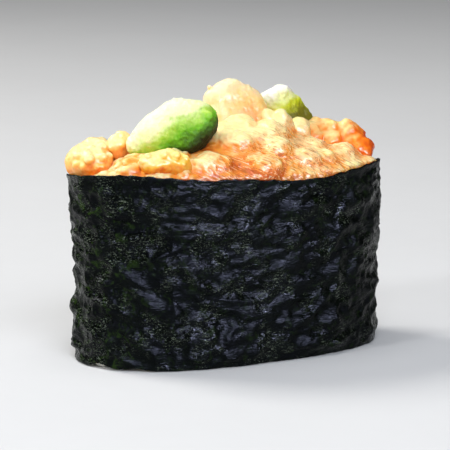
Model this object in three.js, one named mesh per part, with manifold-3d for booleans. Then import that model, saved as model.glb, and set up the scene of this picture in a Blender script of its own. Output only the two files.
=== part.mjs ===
// Gunkan sushi: a band of nori wrapped upright round a bed of rice, with a heap of chopped
// seafood on the rice, larger seafood pieces in the heap and two pieces of avocado on top.
// Millimetres, +Z up, X along the length. The rice stands on z = 0 and the nori reaches down
// to it, apart from where its edge curls up.
import * as THREE from "three";
import { ConvexGeometry } from "three/addons/geometries/ConvexGeometry.js";
import { mergeVertices } from "three/addons/utils/BufferGeometryUtils.js";
import Module from "manifold-3d";

const wasm = await Module();
wasm.setup();

// Driving dimensions
const BAND_LENGTH = 56.2;
const BAND_WIDTH = 30;
const BAND_HEIGHT = 32.2;
const PLAN_POWER = 2.3; // 2 is an ellipse, more is squarer
const PLAN_CENTRE_X = 0.5;
const NORI_THICKNESS = 0.4;
const GAP = 0.3; // between pieces that touch
const RICE_TOP = 18.5;
const LAP_START = 74; // degrees round the plan, where the strip climbs over its own start
const LAP_END = 101; // degrees round the plan, where the strip's outer end shows

// The strip's upper edge rises and falls, and its lower edge curls up in places
const RIM_HEIGHTS = [
  // degrees round the plan, height of the edge
  [0, 31.5],
  [40, 31.5],
  [90, 32.2],
  [128, 31.9],
  [155, 31.4],
  [190, 32.7],
  [218, 33.3],
  [256, 32.1],
  [284, 31.1],
  [324, 32.4],
  [360, 31.5],
];
const FOOT_CURLS = [
  // middle in degrees round the plan, half-width in degrees, lift
  { at: 202, wide: 9, lift: 0.8 },
  { at: 221, wide: 6, lift: 0.6 },
  { at: 60, wide: 24, lift: 0.6 },
];

// The wall isn't quite upright. Each bend is strongest at one height and one place.
const WALL_BENDS = [
  // middle and half-width in degrees, height, how far the bend reaches up and down, outwards
  { at: 180, wide: 52, height: 33, reach: 5, out: 1.1 },
  { at: 180, wide: 45, height: 14, reach: 10, out: -0.5 },
  { at: 0, wide: 45, height: 6, reach: 13, out: -0.6 },
  { at: 288, wide: 34, height: 0, reach: 1.3, out: -1.0 },
];

// The nori takes the print of the rice grains behind it
const PRINT_HEIGHT = 0.5;
const PRINT_LONG = 3.1;
const PRINT_SHORT = 1.7;
const PRINT_PITCH_ALONG = 6.2;
const PRINT_PITCH_UP = 3.9;
const BAND_COLUMNS = 76;
const BAND_ROWS = 8;

const GRAIN = { long: 3.1, wide: 1.45, tall: 1.3, rise: 0.95 };
const GRAIN_PITCH_ALONG = 5.6;
const GRAIN_PITCH_ACROSS = 3.3;
const RICE_RELIEF = 0.7; // how far the grains stand below the bed

const COLOUR = {
  nori: 0x11180f,
  rice: 0xf0ead8,
  seafood: 0xee9f66,
  seafoodPale: 0xf8d3a2,
  avocado: 0xa5cf52,
};

// A number from 0 to 1 by the same rule each run
function seeded(seed) {
  let state = seed;
  return () => {
    state = (state * 16807) % 2147483647;
    return state / 2147483647;
  };
}

const radians = THREE.MathUtils.degToRad;
const wrapped = (value, period) => value - period * Math.round(value / period);
const hump = (distance, wide) => Math.exp(-((distance / wide) ** 2));

// The band's plan, a squared ellipse. The turn is in radians and out is the distance outside it.
function planPoint(turn, out = 0, share = 1) {
  const c = Math.cos(turn);
  const s = Math.sin(turn);
  const k = (Math.abs(c) ** PLAN_POWER + Math.abs(s) ** PLAN_POWER) ** (-1 / PLAN_POWER);
  const x = (BAND_LENGTH / 2) * c * k;
  const y = (BAND_WIDTH / 2) * s * k;
  const nx = (Math.sign(x) * (Math.abs(x) / (BAND_LENGTH / 2)) ** (PLAN_POWER - 1)) / BAND_LENGTH;
  const ny = (Math.sign(y) * (Math.abs(y) / (BAND_WIDTH / 2)) ** (PLAN_POWER - 1)) / BAND_WIDTH;
  const n = Math.hypot(nx, ny);
  return [PLAN_CENTRE_X + x * share + (nx / n) * out, y * share + (ny / n) * out];
}

// Distance along the plan from turn 0, from a table made once
const ARC_STEPS = 720;
const arcTable = [0];
for (let i = 1; i <= ARC_STEPS; i++) {
  const [x0, y0] = planPoint(((i - 1) * 2 * Math.PI) / ARC_STEPS);
  const [x1, y1] = planPoint((i * 2 * Math.PI) / ARC_STEPS);
  arcTable.push(arcTable[i - 1] + Math.hypot(x1 - x0, y1 - y0));
}
const PERIMETER = arcTable[ARC_STEPS];
function alongPlan(turn) {
  const place = THREE.MathUtils.euclideanModulo(turn / (2 * Math.PI), 1) * ARC_STEPS;
  const i = Math.min(Math.floor(place), ARC_STEPS - 1);
  return THREE.MathUtils.lerp(arcTable[i], arcTable[i + 1], place - i);
}

// The value at a place in a table of [place, value], eased from one row to the next
function eased(table, place) {
  const next = Math.max(1, table.findIndex(([at]) => at > place));
  const [from, a] = table[next - 1];
  const [to, b] = table[next];
  return THREE.MathUtils.lerp(a, b, THREE.MathUtils.smoothstep(place, from, to));
}

const degrees = (turn) => THREE.MathUtils.euclideanModulo(THREE.MathUtils.radToDeg(turn), 360);
const rimHeight = (turn) => eased(RIM_HEIGHTS, degrees(turn));
const footHeight = (turn) =>
  FOOT_CURLS.reduce((lift, { at, wide, lift: rise }) => {
    return lift + rise * hump(wrapped(degrees(turn) - at, 360), wide);
  }, 0);
const wallOut = (turn, z) =>
  WALL_BENDS.reduce((sum, { at, wide, height, reach, out }) => {
    return sum + out * hump(wrapped(degrees(turn) - at, 360), wide) * hump(z - height, reach);
  }, 0);

// Places of the grains that print through, in rows staggered like bricks
function printPlaces() {
  const random = seeded(11);
  const across = Math.round(PERIMETER / PRINT_PITCH_ALONG);
  const up = Math.round(BAND_HEIGHT / PRINT_PITCH_UP);
  const places = [];
  for (let row = 0; row < up; row++)
    for (let i = 0; i < across; i++)
      places.push({
        along: ((i + 0.5 * (row % 2) + 0.7 * (random() - 0.5)) * PERIMETER) / across,
        up: ((row + 0.5 + 0.6 * (random() - 0.5)) * BAND_HEIGHT) / up,
        turn: 1.3 * (random() - 0.5),
        height: 0.4 + 0.6 * random(),
      });
  return places;
}
const PRINTS = printPlaces();
function printRelief(turn, z) {
  const s = alongPlan(turn);
  const sum = PRINTS.reduce((total, p) => {
    const ds = wrapped(s - p.along, PERIMETER);
    const dz = z - p.up;
    const long = ds * Math.cos(p.turn) + dz * Math.sin(p.turn);
    const short = dz * Math.cos(p.turn) - ds * Math.sin(p.turn);
    return total + p.height * hump(long, PRINT_LONG) * hump(short, PRINT_SHORT);
  }, 0);
  const nearRim = THREE.MathUtils.clamp((rimHeight(turn) - z) / 3, 0, 1);
  const nearFoot = THREE.MathUtils.clamp((z - footHeight(turn)) / 2, 0, 1);
  return PRINT_HEIGHT * Math.min(1, sum) * nearRim * nearFoot;
}

// Solids and geometries
function solidOf(geometry) {
  const bare = geometry.clone();
  bare.deleteAttribute("normal");
  bare.deleteAttribute("uv");
  const merged = mergeVertices(bare, 1e-4);
  return new wasm.Manifold(
    new wasm.Mesh({
      numProp: 3,
      vertProperties: new Float32Array(merged.attributes.position.array),
      triVerts: new Uint32Array(merged.index.array),
    }),
  );
}

function geometryOf(solid) {
  const mesh = solid.getMesh();
  const geometry = new THREE.BufferGeometry();
  geometry.setAttribute("position", new THREE.BufferAttribute(mesh.vertProperties, 3));
  geometry.setIndex(new THREE.BufferAttribute(mesh.triVerts, 1));
  geometry.computeVertexNormals();
  return geometry;
}

const joined = (solids) => solids.reduce((whole, solid) => whole.add(solid));
const largest = (solid) => solid.decompose().sort((a, b) => b.volume() - a.volume())[0];

// A ring whose cross-section at each turn is the closed list of points that section gives
function ringGeometry(turns, section) {
  const rings = turns.map(section);
  const count = rings[0].length;
  const index = [];
  for (let i = 0; i < rings.length; i++)
    for (let k = 0; k < count; k++) {
      const a = i * count + k;
      const b = ((i + 1) % rings.length) * count + k;
      const a1 = i * count + ((k + 1) % count);
      const b1 = ((i + 1) % rings.length) * count + ((k + 1) % count);
      index.push(a, b, b1, a, b1, a1);
    }
  const geometry = new THREE.BufferGeometry();
  geometry.setAttribute("position", new THREE.Float32BufferAttribute(rings.flat(2), 3));
  geometry.setIndex(index);
  return geometry;
}

// Nori: one strip whose ends lap at the back, so the lap is twice as thick
function lapThickness(turn) {
  const climb = radians(LAP_START);
  const end = radians(LAP_END);
  const rise = THREE.MathUtils.smoothstep(turn, climb - 0.12, climb);
  return turn < end ? NORI_THICKNESS * rise : 0;
}

function bandSection(turn) {
  const foot = footHeight(turn);
  const rim = rimHeight(turn);
  const levels = Array.from({ length: BAND_ROWS + 1 }, (_, k) => (k ? k / BAND_ROWS : 0));
  levels.splice(1, 0, 0.02);
  const outer = levels.map((share) => {
    const z = THREE.MathUtils.lerp(foot, rim, share);
    const out = wallOut(turn, z) + printRelief(turn, z) + lapThickness(turn);
    return [...planPoint(turn, out), z];
  });
  const inner = [1, 0.9, 0.75, 0.5, 0.2, 0.04, 0].map((share) => {
    const z = THREE.MathUtils.lerp(foot, rim, share);
    return [...planPoint(turn, wallOut(turn, z) - NORI_THICKNESS), z];
  });
  return [...outer, ...inner];
}

function bandTurns() {
  const turns = Array.from({ length: BAND_COLUMNS }, (_, i) => (i * 2 * Math.PI) / BAND_COLUMNS);
  turns.push(radians(LAP_END) - 0.002, radians(LAP_END) + 0.002);
  return turns.sort((a, b) => a - b);
}

const innerWall = (turn, z) => wallOut(turn, z) - NORI_THICKNESS - GAP;

// What cuts the rice and the heap back from the nori, from just inside its wall outwards
function wallCutter() {
  const turns = Array.from({ length: 48 }, (_, i) => (i * 2 * Math.PI) / 48);
  const section = (turn) => {
    const foot = footHeight(turn) - GAP;
    const rim = rimHeight(turn) + GAP;
    const inside = (z) => [...planPoint(turn, innerWall(turn, z)), z];
    const outside = (z) => [...planPoint(turn, 12), z];
    const walls = [1, 0.9, 0.75, 0.5, 0.2, 0.04, 0].map((share) => inside(foot + share * (rim - foot)));
    return [outside(foot), outside(rim), ...walls];
  };
  return solidOf(ringGeometry(turns, section));
}

// A turned profile whose round sections are stretched to fill the band, clear of its wall
function planTurned(profile, segments) {
  const lathe = new THREE.LatheGeometry(
    profile.map(([share, z]) => new THREE.Vector2(share, z)),
    segments,
  );
  lathe.rotateX(Math.PI / 2);
  const place = lathe.attributes.position;
  for (let i = 0; i < place.count; i++) {
    const share = Math.hypot(place.getX(i), place.getY(i));
    const turn = Math.atan2(place.getY(i), place.getX(i));
    const [x, y] = planPoint(turn, (innerWall(turn, place.getZ(i)) - 0.05) * share ** 4, share);
    place.setXY(i, x, y);
  }
  return lathe;
}

// Rice: a packed bed whose underside shows its grains, flattened where they stand
function riceGrains() {
  const random = seeded(23);
  const ball = new THREE.SphereGeometry(1, 6, 3);
  const grains = [];
  const rows = Math.ceil(BAND_WIDTH / GRAIN_PITCH_ACROSS / 2);
  const columns = Math.ceil(BAND_LENGTH / GRAIN_PITCH_ALONG / 2);
  for (let row = -rows; row <= rows; row++)
    for (let i = -columns; i <= columns; i++) {
      const x = PLAN_CENTRE_X + (i + 0.5 * (row & 1) + 0.3 * (random() - 0.5)) * GRAIN_PITCH_ALONG;
      const y = (row + 0.3 * (random() - 0.5)) * GRAIN_PITCH_ACROSS;
      const turn = Math.PI * random();
      const size = 0.88 + 0.24 * random();
      const reach =
        Math.abs(((x - PLAN_CENTRE_X) * 2) / BAND_LENGTH) ** PLAN_POWER +
        Math.abs((y * 2) / BAND_WIDTH) ** PLAN_POWER;
      if (reach > 0.8) continue;
      const grain = ball.clone();
      grain.rotateX(Math.PI / 2);
      grain.scale(GRAIN.long * size, GRAIN.wide * size, GRAIN.tall);
      grain.rotateZ(turn);
      grain.translate(x, y, GRAIN.rise);
      grains.push(solidOf(grain));
    }
  return joined(grains);
}

function riceBed(cutter) {
  const profile = [
    [0, RICE_RELIEF],
    [0.94, RICE_RELIEF],
    [1, RICE_RELIEF + 1],
    [1, 7],
    [1, RICE_TOP],
    [0, RICE_TOP],
  ];
  const bed = solidOf(planTurned(profile, 48));
  const floor = new THREE.BoxGeometry(2 * BAND_LENGTH, 2 * BAND_WIDTH, 10);
  floor.translate(0, 0, -5);
  return largest(bed.add(riceGrains()).subtract(solidOf(floor)).subtract(cutter));
}

// The heap's own height over the rim, along the length
const RIDGE = [
  // place along X, height of the ridge over the rim
  [-30, 0.8],
  [-20, 3.2],
  [-10, 4.6],
  [2, 8.2],
  [8, 7.2],
  [15, 4.6],
  [22, 3.4],
  [31, 0.8],
];
const SLOPE_POWER = 1.8;
function heapHeight(x, y) {
  const u = ((x - PLAN_CENTRE_X) * 2) / BAND_LENGTH;
  const v = (y * 2) / BAND_WIDTH;
  const share = Math.min(1, (Math.abs(u) ** PLAN_POWER + Math.abs(v) ** PLAN_POWER) ** (1 / PLAN_POWER));
  const edge = THREE.MathUtils.lerp(BAND_HEIGHT, rimHeight(Math.atan2(v, u)) - 0.2, share);
  return edge + eased(RIDGE, x) * (1 - share ** SLOPE_POWER);
}

function heapCore() {
  const rings = [1, 0.9, 0.75, 0.55, 0.3, 0];
  const bottom = RICE_TOP + GAP;
  const tops = rings.map((share) => [share, BAND_HEIGHT]);
  const core = planTurned([[0, bottom], [1, bottom], [1, 26], ...tops], 40);
  const place = core.attributes.position;
  for (let i = 0; i < place.count; i++) {
    if (place.getZ(i) < BAND_HEIGHT - 0.01) continue;
    place.setZ(i, heapHeight(place.getX(i), place.getY(i)));
  }
  return solidOf(core);
}

// A soft lump: a ball with three shallow waves in it, stretched and turned
function lump([x, y, z], [rx, ry, rz], turn, phase) {
  const ball = new THREE.IcosahedronGeometry(1, 1);
  const place = ball.attributes.position;
  const p = new THREE.Vector3();
  for (let i = 0; i < place.count; i++) {
    p.fromBufferAttribute(place, i);
    const wave =
      Math.sin(2.3 * p.x + phase) + Math.sin(2.7 * p.y + 2.1 * phase) + Math.sin(2.1 * p.z + 3.7 * phase);
    p.multiplyScalar(1 + 0.06 * wave);
    place.setXYZ(i, p.x, p.y, p.z);
  }
  ball.scale(rx, ry, rz);
  ball.rotateZ(turn);
  ball.translate(x, y, z);
  return solidOf(ball);
}

// Lumps spread evenly over the heap, in a sunflower's spiral
const LUMP_COUNT = 38;
const GOLDEN_TURN = Math.PI * (3 - Math.sqrt(5));
function spreadLumps() {
  const random = seeded(5);
  return Array.from({ length: LUMP_COUNT }, (_, i) => {
    const [x, y] = planPoint(i * GOLDEN_TURN, -3, Math.sqrt((i + 0.5) / LUMP_COUNT));
    const size = 2.2 + 1.3 * random();
    const tall = 0.6 + 0.2 * random();
    const z = heapHeight(x, y) - 0.35 * size;
    return lump([x, y, z], [size * 1.2, size, size * tall], Math.PI * random(), 6 * random());
  });
}

// Lumps that stand out from the rest of the heap
const STANDING_LUMPS = [
  { at: [6.8, -0.8, 39.9], size: [1.7, 1.6, 2.1], turn: 0.4 },
  { at: [9.6, -1.6, 38.1], size: [2.8, 2.4, 2.5], turn: 0.9 },
  { at: [14.2, 0.6, 37.2], size: [2.3, 2.2, 2.3], turn: 0.1 },
  { at: [-7.4, -10.8, 33.9], size: [3.9, 2.8, 2.2], turn: 0.2 },
  { at: [0.6, -11.6, 33.1], size: [3.4, 2.4, 1.9], turn: -0.3 },
  { at: [9.6, -9.4, 33.5], size: [3.6, 2.9, 2.0], turn: -0.2 },
  { at: [17.2, -6.4, 33.3], size: [3.7, 2.7, 1.9], turn: -0.5 },
  { at: [2.4, -5.6, 36.4], size: [3.6, 2.8, 2.3], turn: 0.1 },
  { at: [-17.4, 4.2, 35.4], size: [3.0, 2.7, 2.3], turn: 0.5 },
  { at: [-19.2, -5.6, 33.7], size: [3.4, 2.8, 2.0], turn: 0.2 },
  { at: [-0.6, -2.6, 37.2], size: [2.9, 2.3, 2.4], turn: 0.2 },
];

function seafoodHeap(cutters) {
  const lumps = STANDING_LUMPS.map(({ at, size, turn }, i) => lump(at, size, turn, i));
  const heap = joined([heapCore(), ...spreadLumps(), ...lumps]);
  return largest(cutters.reduce((rest, cutter) => rest.subtract(cutter), heap));
}

// Larger pieces. Balls are [x, y, z, radius]: a cut piece is the skin stretched over its
// balls, and a soft one is the balls grown together.
const PIECES = [
  {
    name: "seafood_piece_peak",
    colour: COLOUR.seafoodPale,
    cut: true,
    balls: [
      [2.0, 2.4, 44.6, 2.3],
      [-0.9, 2.2, 43.0, 2.4],
      [5.2, 1.8, 42.4, 2.5],
      [0.2, 0.2, 38.6, 2.8],
      [6.6, 0.6, 39.2, 2.5],
      [2.8, 4.6, 39.4, 3.0],
    ],
  },
  {
    name: "avocado_front",
    colour: COLOUR.avocado,
    cut: true,
    balls: [
      [-8.2, -5.6, 40.6, 4.0],
      [-11.0, -4.8, 41.0, 4.0],
      [-14.6, -3.4, 39.2, 3.3],
      [-18.0, -2.8, 37.0, 2.0],
      [-12.2, -5.4, 37.8, 2.2],
      [-9.4, -6.0, 38.1, 2.7],
    ],
  },
  {
    name: "avocado_back",
    colour: COLOUR.avocado,
    cut: true,
    balls: [
      [13.4, 5.0, 43.4, 1.4],
      [10.4, 5.4, 42.0, 1.4],
      [15.8, 5.0, 42.0, 1.1],
      [18.6, 5.0, 38.1, 0.6],
      [13.0, 3.4, 38.2, 1.6],
      [10.0, 7.4, 39.0, 2.0],
      [15.4, 8.0, 38.8, 1.8],
    ],
  },
  {
    name: "seafood_piece_left",
    colour: COLOUR.seafoodPale,
    cut: true,
    balls: [
      [-25.9, 1.4, 33.9, 3.1],
      [-25.0, -1.4, 33.6, 2.9],
      [-22.6, 3.2, 35.0, 3.1],
    ],
  },
  {
    name: "seafood_piece_left_inner",
    colour: COLOUR.seafoodPale,
    cut: true,
    balls: [
      [-20.6, 0.8, 35.9, 1.9],
      [-19.0, 0.6, 36.8, 1.9],
      [-17.8, 2.0, 35.4, 2.2],
    ],
  },
  {
    name: "seafood_piece_front",
    colour: COLOUR.seafoodPale,
    cut: true,
    balls: [
      [-18.3, -9.2, 34.5, 1.8],
      [-15.4, -9.9, 35.0, 2.2],
      [-13.7, -10.2, 34.5, 2.1],
    ],
  },
  {
    name: "seafood_piece_right",
    colour: COLOUR.seafood,
    cut: false,
    balls: [
      [17.6, 3.4, 35.0, 3.2],
      [21.4, 3.8, 35.2, 3.2],
      [24.9, 2.4, 34.9, 3.1],
      [25.7, -0.8, 33.2, 2.5],
    ],
  },
];

function pieceSolid({ cut, balls }, grow) {
  const ball = new THREE.IcosahedronGeometry(1, 1).attributes.position;
  const skins = balls.map(([x, y, z, r]) => {
    const points = [];
    for (let i = 0; i < ball.count; i++)
      points.push(
        new THREE.Vector3().fromBufferAttribute(ball, i).multiplyScalar(r + grow).add(new THREE.Vector3(x, y, z)),
      );
    return points;
  });
  if (cut) return solidOf(new ConvexGeometry(skins.flat()));
  return joined(skins.map((points) => solidOf(new ConvexGeometry(points))));
}

// Each piece is cut back from the ones before it
function largePieces(cutter) {
  const made = [];
  const grown = [cutter];
  for (const piece of PIECES) {
    const solid = grown.reduce((rest, other) => rest.subtract(other), pieceSolid(piece, 0));
    made.push({ ...piece, solid: largest(solid) });
    grown.push(pieceSolid(piece, GAP));
  }
  return { made, grown };
}

function named(name, geometry, colour, roughness) {
  const material = new THREE.MeshStandardMaterial({ color: colour, roughness, metalness: 0 });
  const mesh = new THREE.Mesh(geometry, material);
  mesh.name = name;
  return mesh;
}

const sushi = new THREE.Group();
const cutter = wallCutter();
const { made, grown } = largePieces(cutter);
sushi.add(named("nori_band", ringGeometry(bandTurns(), bandSection), COLOUR.nori, 0.4));
sushi.add(named("rice_bed", geometryOf(riceBed(cutter)), COLOUR.rice, 0.6));
sushi.add(named("seafood_heap", geometryOf(seafoodHeap(grown)), COLOUR.seafood, 0.45));
for (const piece of made) sushi.add(named(piece.name, geometryOf(piece.solid), piece.colour, 0.4));

export default sushi;
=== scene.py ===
# %% [markdown]
# # Gunkan sushi
#
# A gunkan is a small oval of packed rice with a strip of nori wrapped upright round it. The nori
# stands higher than the rice, so that the two make a cup, and the cup is heaped with a soft topping.
# Here that is chopped seafood, with a few larger pieces in it and two pieces of avocado.
#
# The solids that come with this scene hold the real sizes, in metres, with Z up. Each step below
# replaces one of them with a piece that has the surface of the real food.

# %% Load the frame
import math

import bmesh
import bpy
import numpy as np
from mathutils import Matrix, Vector, noise


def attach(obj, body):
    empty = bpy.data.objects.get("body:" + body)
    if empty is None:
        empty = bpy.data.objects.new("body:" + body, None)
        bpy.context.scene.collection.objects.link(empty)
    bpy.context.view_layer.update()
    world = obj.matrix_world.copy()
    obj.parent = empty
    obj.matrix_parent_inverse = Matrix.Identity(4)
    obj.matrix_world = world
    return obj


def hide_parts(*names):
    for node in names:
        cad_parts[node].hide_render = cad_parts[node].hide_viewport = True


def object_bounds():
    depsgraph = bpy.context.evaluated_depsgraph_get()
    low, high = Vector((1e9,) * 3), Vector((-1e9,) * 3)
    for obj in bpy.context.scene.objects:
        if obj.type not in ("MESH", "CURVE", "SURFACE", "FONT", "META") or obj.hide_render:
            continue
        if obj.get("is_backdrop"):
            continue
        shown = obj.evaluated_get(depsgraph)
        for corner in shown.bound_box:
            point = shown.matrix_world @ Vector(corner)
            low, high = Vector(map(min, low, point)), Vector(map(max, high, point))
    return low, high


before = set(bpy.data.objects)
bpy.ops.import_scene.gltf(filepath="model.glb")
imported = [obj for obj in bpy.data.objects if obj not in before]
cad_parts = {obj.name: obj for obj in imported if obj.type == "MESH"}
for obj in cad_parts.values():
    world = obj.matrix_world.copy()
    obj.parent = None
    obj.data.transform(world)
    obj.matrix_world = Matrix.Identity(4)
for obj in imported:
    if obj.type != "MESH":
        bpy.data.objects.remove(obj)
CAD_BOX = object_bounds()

print("solids:", ", ".join(sorted(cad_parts)))

# %% [markdown]
# ## Working in arrays
#
# Each piece here has tens of thousands of points. Blender can move them one at a time, but arrays of
# numbers move them all at once, so a mesh is kept as two arrays, points and faces, until it is done.
# Lengths are in millimetres while a piece is made, because food is easier to think about that way.

# %% Meshes as arrays
MM = 0.001
print("one millimetre is", MM, "metres")


def arrays_of(mesh):
    """The points in millimetres and the faces of a mesh whose faces all have the same corners."""
    points = np.empty(len(mesh.vertices) * 3)
    mesh.vertices.foreach_get("co", points)
    corners = np.empty(len(mesh.loops), int)
    mesh.loops.foreach_get("vertex_index", corners)
    return points.reshape(-1, 3) / MM, corners.reshape(len(mesh.polygons), -1)


def make_object(name, points, faces):
    """A smooth-shaded object from points in millimetres and faces."""
    mesh = bpy.data.meshes.new(name)
    mesh.from_pydata((points * MM).tolist(), [], faces.tolist())
    mesh.shade_smooth()
    thing = bpy.data.objects.new(name, mesh)
    bpy.context.scene.collection.objects.link(thing)
    return thing


# %% Joining parts and reading their edges
def joined(parts):
    """One pair of arrays from many."""
    starts = np.cumsum([0] + [len(points) for points, _ in parts])
    faces = np.concatenate([faces + start for (_, faces), start in zip(parts, starts)])
    return np.concatenate([points for points, _ in parts]), faces


def halved(faces):
    """Each four-sided face as two triangles."""
    return np.concatenate([faces[:, [0, 1, 2]], faces[:, [0, 2, 3]]])


def ring_faces(columns, rows, closed):
    """Four-sided faces between the columns of a ring, closed or not from its last row to its first."""
    i, k = np.meshgrid(np.arange(columns), np.arange(rows if closed else rows - 1), indexing="ij")
    right, above = (i + 1) % columns, (k + 1) % rows
    faces = np.stack([i * rows + k, right * rows + k, right * rows + above, i * rows + above], 2)
    return faces.reshape(-1, 4)


def edges_of(faces):
    """Each edge once, as a pair of points."""
    pairs = np.stack([faces, np.roll(faces, -1, axis=1)], axis=2).reshape(-1, 2)
    return np.unique(np.sort(pairs, axis=1), axis=0)


# %% [markdown]
# ## Moving points
#
# Three moves make most soft surfaces: smoothing, which draws each point towards its neighbours,
# pushing along the normal, and noise to say how far to push. Fractal noise adds finer and finer
# waves, which is how a torn or chopped surface looks.

# %% Smoothing, normals and noise
TINY = 1e-12  # keeps a length from being zero where it divides
FALL, FINER = 1.0, 2.0  # in fractal noise, how fast finer waves weaken, and how much finer each is


def neighbour_mean(values, edges):
    """The mean of each point's neighbours."""
    a, b = edges.T
    count = np.bincount(edges.ravel(), minlength=len(values))
    total = [
        np.bincount(a, v[b], len(values)) + np.bincount(b, v[a], len(values))
        for v in values.reshape(len(values), -1).T
    ]
    return (np.stack(total, 1) / count[:, None]).reshape(values.shape)


def smoothed(values, edges, rounds, strength=0.5):
    """Values drawn towards their neighbours' mean, round after round."""
    for _ in range(rounds):
        values = values + strength * (neighbour_mean(values, edges) - values)
    return values


def normals_of(points, faces):
    """Unit normals at the points, from the diagonals of the four-sided faces."""
    a, b, c, d = (points[faces[:, i]] for i in range(4))
    across = np.cross(c - a, d - b)
    total = [np.bincount(faces.ravel(), np.repeat(v, 4), len(points)) for v in across.T]
    total = np.stack(total, 1)
    return total / np.maximum(np.linalg.norm(total, axis=1, keepdims=True), TINY)


def noise_at(points, size, octaves=3, seed=0):
    """Fractal noise, from about -1 to 1, whose largest waves are about this size."""
    shift = Vector((31.7 * seed, 11.3 * seed, 5.9 * seed))
    scaled = points / size
    return np.array([noise.fractal(Vector(p) + shift, FALL, FINER, octaves) for p in scaled])


# %% [markdown]
# ## The band's own shape
#
# The nori's plan is a squared ellipse. Its rim dips at the front, its foot curls up in places, and
# the wall leans out at the left end. The same few rules shape the solid, so the fine piece made here
# stands where the solid stands.

# %% Measures of the band
BAND_LENGTH, BAND_WIDTH, BAND_HEIGHT = 56.2, 30.0, 32.2
PLAN_POWER = 2.3  # 2 is an ellipse, and more is squarer
PLAN_CENTRE_X = 0.5
NORI_THICKNESS = 0.4
print(f"the band is about {BAND_LENGTH:.0f} by {BAND_WIDTH:.0f} by {BAND_HEIGHT:.0f} mm")


# %% The plan
def plan_point(turn, out=0.0, share=1.0):
    """X and Y at an angle round the plan, a distance outside it, or at a share of the way to it."""
    c, s = np.cos(turn), np.sin(turn)
    k = (np.abs(c) ** PLAN_POWER + np.abs(s) ** PLAN_POWER) ** (-1 / PLAN_POWER)
    x, y = BAND_LENGTH / 2 * c * k, BAND_WIDTH / 2 * s * k
    nx = np.sign(x) * (np.abs(x) * 2 / BAND_LENGTH) ** (PLAN_POWER - 1) / BAND_LENGTH
    ny = np.sign(y) * (np.abs(y) * 2 / BAND_WIDTH) ** (PLAN_POWER - 1) / BAND_WIDTH
    n = np.hypot(nx, ny)
    return PLAN_CENTRE_X + x * share + nx / n * out, y * share + ny / n * out


def share_of(x, y):
    """How far out a place is, from 0 in the middle to 1 on the plan."""
    u, v = np.abs(x - PLAN_CENTRE_X) * 2 / BAND_LENGTH, np.abs(y) * 2 / BAND_WIDTH
    return (u**PLAN_POWER + v**PLAN_POWER) ** (1 / PLAN_POWER)


def turn_of(x, y):
    """The angle round the plan that a place lies at."""
    return np.arctan2(y / BAND_WIDTH, (x - PLAN_CENTRE_X) / BAND_LENGTH)


# %% The distance round the plan
PLAN_STEPS = 720
plan_turns = np.linspace(0, 2 * np.pi, PLAN_STEPS + 1)
outline = np.stack(plan_point(plan_turns), 1)
plan_arc = np.concatenate([[0], np.cumsum(np.linalg.norm(np.diff(outline, axis=0), axis=1))])
PERIMETER = plan_arc[-1]
print(f"the strip of nori is {PERIMETER:.0f} mm round")


def along_plan(turn):
    return np.interp(turn % (2 * np.pi), plan_turns, plan_arc)


# %% Humps and eased tables
def hump(distance, wide):
    """1 in the middle of a hump, falling softly to 0 on both sides."""
    return np.exp(-((distance / wide) ** 2))


def wrapped(value, period):
    """The same place on a round, as a distance from 0 to either side."""
    return value - period * np.round(value / period)


def eased(table, place):
    """A value from a table of places and values, eased from one row to the next."""
    at, value = np.array(table, float).T
    i = np.clip(np.searchsorted(at, place, side="right"), 1, len(at) - 1)
    t = np.clip((place - at[i - 1]) / (at[i] - at[i - 1]), 0, 1)
    return value[i - 1] + (value[i] - value[i - 1]) * t * t * (3 - 2 * t)


# %% The rim, the foot and the wall
RIM_HEIGHTS = [
    (0, 31.5), (40, 31.5), (90, 32.2), (128, 31.9), (155, 31.4), (190, 32.7),
    (218, 33.3), (256, 32.1), (284, 31.1), (324, 32.4), (360, 31.5),
]  # degrees round the plan, height
FOOT_CURLS = [(202, 9, 0.8), (221, 6, 0.6), (60, 24, 0.6)]  # degrees round, half-width, lift
WALL_BENDS = [
    (180, 52, 33, 5, 1.1),
    (180, 45, 14, 10, -0.5),
    (0, 45, 6, 13, -0.6),
    (288, 34, 0, 1.3, -1.0),
]  # degrees round, half-width, height, reach, how far outwards


def rim_height(turn):
    return eased(RIM_HEIGHTS, np.degrees(turn) % 360)


def foot_height(turn):
    return sum(lift * hump(wrapped(np.degrees(turn) - at, 360), wide) for at, wide, lift in FOOT_CURLS)


def wall_out(turn, z):
    """How far the wall stands outside the plan."""
    return sum(
        out * hump(wrapped(np.degrees(turn) - at, 360), wide) * hump(z - height, reach)
        for at, wide, height, reach, out in WALL_BENDS
    )


print(f"the rim is {rim_height(np.radians(270)):.1f} mm high at the middle of the front")

# %% Keeping to the box
BOX_EASE = 0.3  # how near the box a point may come before it is eased back


def eased_over(amount):
    """What is taken from a point that is past the start of the easing by an amount."""
    return amount - BOX_EASE * (1 - np.exp(-amount / BOX_EASE))


def within_box(points):
    """Eases points back where they would stand out of the solid's box."""
    low, high = np.array(CAD_BOX[0]) / MM, np.array(CAD_BOX[1]) / MM
    over = np.maximum(points - (high - BOX_EASE), 0)
    under = np.maximum(low + BOX_EASE - points, 0)
    return points - eased_over(over) + eased_over(under)


box_corners = [[round(v / MM, 1) for v in corner] for corner in CAD_BOX]
print("pieces keep within", *box_corners)

# %% [markdown]
# ## Prints of the grains
#
# Damp nori clings to the rice, and each grain behind it shows as a low swelling. The swellings lie in
# rows like bricks, each shifted and turned a little by a rule that gives the same numbers each time.

# %% Numbers in a fixed order
FACTOR, MODULUS = 16807, 2147483647  # a well-known pair for a simple random rule


def seeded(seed):
    """A function that gives a number from 0 to 1, in the same order each run."""
    state = [seed]

    def step():
        state[0] = state[0] * FACTOR % MODULUS
        return state[0] / MODULUS

    return step


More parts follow.
